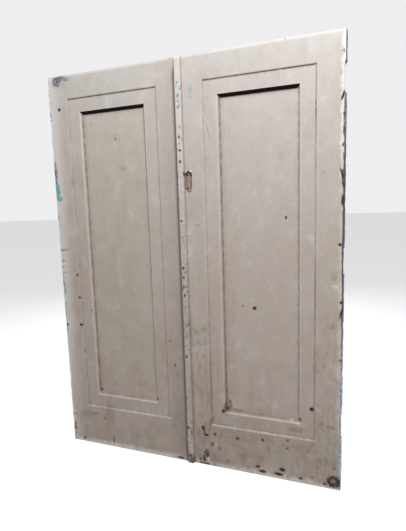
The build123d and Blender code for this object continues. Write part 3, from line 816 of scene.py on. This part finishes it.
def painted_sheet(name):
    """Old cream paint on galvanised sheet, worn through where the sheet's mark maps say so."""
    material, w, shader, point = new_material(name)
    place = use(w, LEAF_PLACE, point=point)
    tone = use(w, PAINT_TONE, point=point, up=place["Up"])
    grime_and_shade = use(w, GRIME_AND_SHADE, place, point=point)
    rubbed_and_lit = use(w, RUBBED_AND_LIT, place, point=point)
    wear = use(w, EDGE_WEAR, place, point=point)

    inside = w.times(w.between(place["Panel"], 0.0, -0.03), w.between(place["Up"], 0.3, 0.9, 0.35, 1.0))
    inside = w.times(inside, w.times_plus(place["Right"], -0.95, 1.0))
    tinted = w.blend(1.0, tone["Color"], PANEL_TINT, "MULTIPLY")
    colour = w.blend(w.times(inside, 0.48), tone["Color"], tinted)
    # Worn pale arrises and rims, painted highlights on the ledges, and painted light.
    colour = w.blend(rubbed_and_lit["Pale"], colour, RUBBED_AND_LIT_CREAM)
    # Dirt low down, and painted shade on the left leaf towards the astragal.
    colour = w.blend(w.times(grime_and_shade["Smear_and_shade"], 0.8), colour, DRY_DIRT_AND_SHADE)
    colour = w.blend(grime_and_shade["Tan"], colour, TAN_BAND)
    # Dirt and painted shade in the corners, and the astragal's painted shadow.
    colour = w.blend(grime_and_shade["Crease_and_shade"], colour, CREASE_DIRT_AND_SHADE)
    # Painted deep shade under the panel's top.
    colour = w.blend(grime_and_shade["Deep"], colour, DEEP_SHADE)
    colour = w.blend(w.times(grime_and_shade["Specks"], 0.7), colour, SPECK_BROWN)

    marks = find_marks(w, point, ("stain", "glint", "zinc", "teal", "rust", "mauve", "hole"))
    zinc, teal, rust, hole = (marks[kind]["Mask"] for kind in ("zinc", "teal", "rust", "hole"))
    crumbs = w.noise(point, 75.0, 4.0, 0.7)
    broken = w.times(marks["stain"]["Rim"], w.between(crumbs, 0.36, 0.60, 0.28, 1.0))
    colour = w.blend(broken, colour, STAIN_BROWN)
    for kind in ("zinc", "hole"):
        colour = w.blend(w.times(marks[kind]["Rim"], 0.28), colour, RIM_BROWN)
    # Painted highlights at the glint marks.
    colour = w.blend(marks["glint"]["Mask"], colour, GLINT)
    # The painted shadow beside the lifted paint edge.
    colour = w.blend(w.times(wear["Shadow"], 0.8), colour, LIFTED_SHADOW)
    bare = w.most(wear["Bare"], zinc)
    colour = w.blend(bare, colour, w.blend(wear["Darker"], galvanised_tone(w, point), DARK_ZINC))
    colour = w.blend(teal, colour, w.blend(w.noise(point, 90.0), *OLD_TEAL_TONES))
    rust_patches = w.between(w.noise(point, 42.0, 3.0, 0.55), 0.53, 0.64)
    colour = w.blend(rust, colour, w.blend(rust_patches, *RUST_TONES))
    colour = w.blend(marks["mauve"]["Mask"], colour, MAUVE)
    colour = w.blend(hole, colour, w.blend(w.noise(point, 150.0), *HOLE_TONES))
    w.feed(shader["Base Color"], colour)

    gone = w.most(w.most(bare, teal), w.most(rust, hole))
    w.feed(shader["Metallic"], w.times(bare, 0.6))
    sheen = w.times_plus(w.noise(point, 14.0, 4.0, 0.6), 0.25, 0.36)
    w.feed(shader["Roughness"], w.most(sheen, w.most(grime_and_shade["Deep"], hole)))
    relief = w.times_plus(gone, -1.2, w.times(tone["Height"], 0.7))
    relief = w.times_plus(use(w, STEP_ROLL, place)["Height"], 3.5, relief)
    raise_surface(w, shader, relief, 0.0006, 0.6)
    shader["Specular IOR Level"].default_value = 0.4
    return material


def painted_bead(name):
    """The same paint on the astragal, chipped: pale along its crest, as wear and a painted highlight, and
    with dirt and painted shade down its left flank.
    """
    material, w, shader, point = new_material(name)
    parts = w.put("ShaderNodeSeparateXYZ", {"Vector": point}).outputs
    up, aside = parts["Z"], parts["X"]
    tone = use(w, PAINT_TONE, point=point, up=up)
    fine = w.noise(point, 46.0, 5.0, 0.65)
    # The crest drawn pale, as wear and as a painted highlight that brightens higher up.
    crest = w.between(w.magnitude(w.minus(aside, CREST_ASIDE)), 0.0150, 0.0070, 0.0, 0.66)
    crest = w.times(crest, w.between(up, 1.0, 1.75, 0.24, 1.0))
    pale_end = w.times(w.between(up, 0.20, 0.12), w.between(fine, 0.44, 0.54, 0.0, 0.75))
    crest = w.most(crest, w.times(pale_end, w.between(up, 0.03, 0.06)))
    crest = w.times(crest, w.between(fine, 0.25, 0.6, 0.5, 1.0))
    colour = w.blend(crest, tone["Color"], BEAD_WORN_AND_LIT_CREST)
    mottle = w.between(w.noise(point, 120.0, 4.0, 0.7), 0.46, 0.70, 0.0, 0.62)
    colour = w.blend(w.times(mottle, w.between(up, 1.7, 0.9, 0.35, 1.0)), colour, BEAD_MOTTLE)
    # Dirt and painted shade down the left flank, which faces away from the light.
    flank = w.between(aside, w.between(up, 0.5, 1.8, -0.0085, -0.0115), -0.0158, 0.0, 0.76)
    colour = w.blend(w.times(flank, w.between(fine, 0.2, 0.5, 0.7, 1.0)), colour, BEAD_FLANK_DIRT_AND_SHADE)
    end = w.times(w.between(up, 0.085, 0.02), w.between(fine, 0.36, 0.56))
    colour = w.blend(w.times(end, 0.75), colour, BEAD_END_DIRT)
    chips = w.noise(w.vector("MULTIPLY", point, (1.0, 1.0, 0.55)), 88.0, 2.0, 0.5)
    crowd = w.between(w.noise(point, 5.0, 2.0, 0.5), 0.38, 0.62, 0.735, 0.635)
    chips = w.between(w.minus(chips, crowd), 0.0, 0.03)
    kinds = ("stain", "zinc", "teal", "rust", "hole")
    marks = find_marks(w, point, kinds)
    stain, zinc, teal, rust, hole = (marks[kind]["Mask"] for kind in kinds)
    colour = w.blend(stain, colour, BEAD_STAIN)
    colour = w.blend(zinc, colour, w.blend(fine, *BEAD_ZINC_TONES))
    colour = w.blend(teal, colour, BEAD_TEAL)
    colour = w.blend(rust, colour, w.blend(fine, *BEAD_RUST_TONES))
    dark = w.most(hole, w.times(chips, 0.85))
    colour = w.blend(dark, colour, w.blend(fine, *BEAD_CHIP_TONES))
    w.feed(shader["Base Color"], colour)
    w.feed(shader["Metallic"], w.times(zinc, 0.4))
    w.feed(shader["Roughness"], w.times_plus(fine, 0.25, 0.30))
    relief = w.times_plus(dark, -1.2, w.times(tone["Height"], 0.5))
    raise_surface(w, shader, relief, 0.0006, 0.6)
    shader["Specular IOR Level"].default_value = 0.4
    return material


def plain_metal(name, tones, roughness):
    """Bare metal between two tones."""
    material, w, shader, point = new_material(name)
    patches = w.noise(point, 45.0, 5.0, 0.65)
    w.feed(shader["Base Color"], w.blend(w.between(patches, 0.35, 0.7), *tones))
    w.feed(shader["Roughness"], w.times_plus(patches, 0.3, roughness - 0.15))
    raise_surface(w, shader, w.noise(point, 260.0, 3.0), 0.0002, 0.5)
    shader["Metallic"].default_value = 0.85
    return material


def old_timber(name, along):
    """Bare softwood with its grain along an axis."""
    material, w, shader, point = new_material(name)
    squeeze = [2.0 if axis == along else 70.0 for axis in "XYZ"]
    grain = w.noise(w.vector("MULTIPLY", point, squeeze), 2.0, 5.0, 0.6)
    blotch = w.noise(point, 30.0, 4.0, 0.6)
    colour = w.blend(w.between(grain, 0.3, 0.7), *TIMBER_TONES)
    colour = w.blend(w.times(w.between(blotch, 0.5, 0.75), 0.6), colour, TIMBER_BLOTCH)
    w.feed(shader["Base Color"], colour)
    raise_surface(w, shader, grain, 0.0008, 0.7)
    shader["Roughness"].default_value = 0.85
    return material


cream_paint = painted_sheet("cream paint")
bead_paint = painted_bead("cream paint on the astragal")
timber = {"Z": old_timber("timber upright", "Z"), "X": old_timber("timber across", "X")}
steel = plain_metal("dull steel", STEEL_TONES, 0.5)


def dress(node, material):
    slots = nodes[node].data.materials
    slots.clear()
    slots.append(material)


for node in nodes:
    if "bolt" in node:
        dress(node, steel)
    elif any(word in node for word in ("stile", "ground", "board", "strip", "rail")):
        flat_grain = "rail" in node or "top_ground" in node or "bottom_ground" in node
        dress(node, timber["X" if flat_grain else "Z"])
    else:
        dress(node, cream_paint)

for leaf in ("left", "right"):
    worn_sheet(f"{leaf}_face_pan_front", leaf, PAN_CELL)
    battered_copy(f"{leaf}_face_pan_back", cream_paint)
    battered_copy(f"{leaf}_hinge_stile", timber["Z"])
    worn_sheet(f"{leaf}_panel_sheet_front", leaf)
    for side in ("top", "bottom", "meeting", "hinge"):
        worn_sheet(f"{leaf}_{side}_moulding_front", leaf)
worn_sheet("astragal_cover", "right")

# The stage: colours and light of floor and backdrop, and the camera in metres, degrees and pixels
FLOOR_SEEN = (0.55, 0.55, 0.55, 1)
FLOOR_FELT = (0.30, 0.30, 0.30, 1)
BACKDROP_GLOW = 0.60
SKY_LIGHT = 0.26
CAMERA_PLACE = (1.0235, -2.15925, 1.335)
CAMERA_TURN = (23.39, 8.94, 1.80)
FOCAL_PIXELS = 480.0
RISE_PIXELS = 17.0
PHOTO_HEIGHT = 531
SENSOR = 36


def stage_material(name, seen, felt, lift):
    """Pale to the camera and in reflections, and duller to the light that bounces off it."""
    material = bpy.data.materials.new(name)
    w = empty_tree(material)
    path = w.put("ShaderNodeLightPath").outputs
    near = w.most(path["Is Camera Ray"], w.most(path["Is Glossy Ray"], path["Is Transmission Ray"]))
    matt = w.put("ShaderNodeBsdfDiffuse", {"Color": w.blend(near, felt, seen)})
    glow = w.put("ShaderNodeEmission", {"Color": seen, "Strength": w.times(near, lift)})
    both = w.put("ShaderNodeAddShader")
    w.feed(both.inputs[0], matt.outputs[0])
    w.feed(both.inputs[1], glow.outputs[0])
    w.put("ShaderNodeOutputMaterial", {"Surface": both.outputs[0]})
    return material


def add_floor(reach=60.0):
    corners = [(-reach, -reach, 0), (reach, -reach, 0), (reach, reach, 0), (-reach, reach, 0)]
    mesh = bpy.data.meshes.new("floor")
    mesh.from_pydata(corners, [], [(0, 1, 2, 3)])
    mesh.materials.append(stage_material("pale floor", FLOOR_SEEN, FLOOR_FELT, 1.05))
    floor = add_object("floor", mesh)


def add_softbox(name, place, target, size, power):
    light = bpy.data.lights.new(name, "AREA")
    light.shape = "RECTANGLE"
    light.size, light.size_y = size
    light.energy = power
    box = add_object(name, light)
    box.location = place
    box.rotation_euler = (Vector(target) - Vector(place)).to_track_quat("-Z", "Y").to_euler()


def set_world():
    world = bpy.data.worlds.new("studio")
    bpy.context.scene.world = world
    w = empty_tree(world)
    path = w.put("ShaderNodeLightPath").outputs
    strength = w.times_plus(path["Is Camera Ray"], BACKDROP_GLOW, SKY_LIGHT)
    background = w.put("ShaderNodeBackground", {"Color": (1.0, 1.0, 1.0, 1), "Strength": strength})
    w.put("ShaderNodeOutputWorld", {"Surface": background.outputs[0]})


def add_camera():
    """Stands the camera where the photograph was taken from."""
    yaw, pitch, roll = (math.radians(angle) for angle in CAMERA_TURN)
    right = Vector((math.cos(yaw), math.sin(yaw), 0))
    ahead = Vector((-math.sin(yaw), math.cos(yaw), 0))
    up = Vector((0, 0, 1))
    view = ahead * math.cos(pitch) - up * math.sin(pitch)
    above = ahead * math.sin(pitch) + up * math.cos(pitch)
    side = right * math.cos(roll) - above * math.sin(roll)
    head = right * math.sin(roll) + above * math.cos(roll)
    data = bpy.data.cameras.new("camera")
    data.sensor_width = SENSOR
    data.lens = FOCAL_PIXELS / PHOTO_HEIGHT * SENSOR
    data.shift_y = RISE_PIXELS / PHOTO_HEIGHT
    camera = add_object("camera", data)
    turned = Matrix((side, head, -view)).transposed()
    camera.matrix_world = Matrix.Translation(CAMERA_PLACE) @ turned.to_4x4()
    bpy.context.scene.camera = camera


add_floor()
add_softbox("back light", (-1.4, 3.6, 3.2), (0.0, 0.0, 1.0), (1.6, 1.6), 110)
add_softbox("key light", (1.2, -2.0, 4.0), (0.1, 0.0, 1.1), (1.3, 1.3), 150)
set_world()
add_camera()
bpy.context.scene.view_settings.view_transform = "Standard"
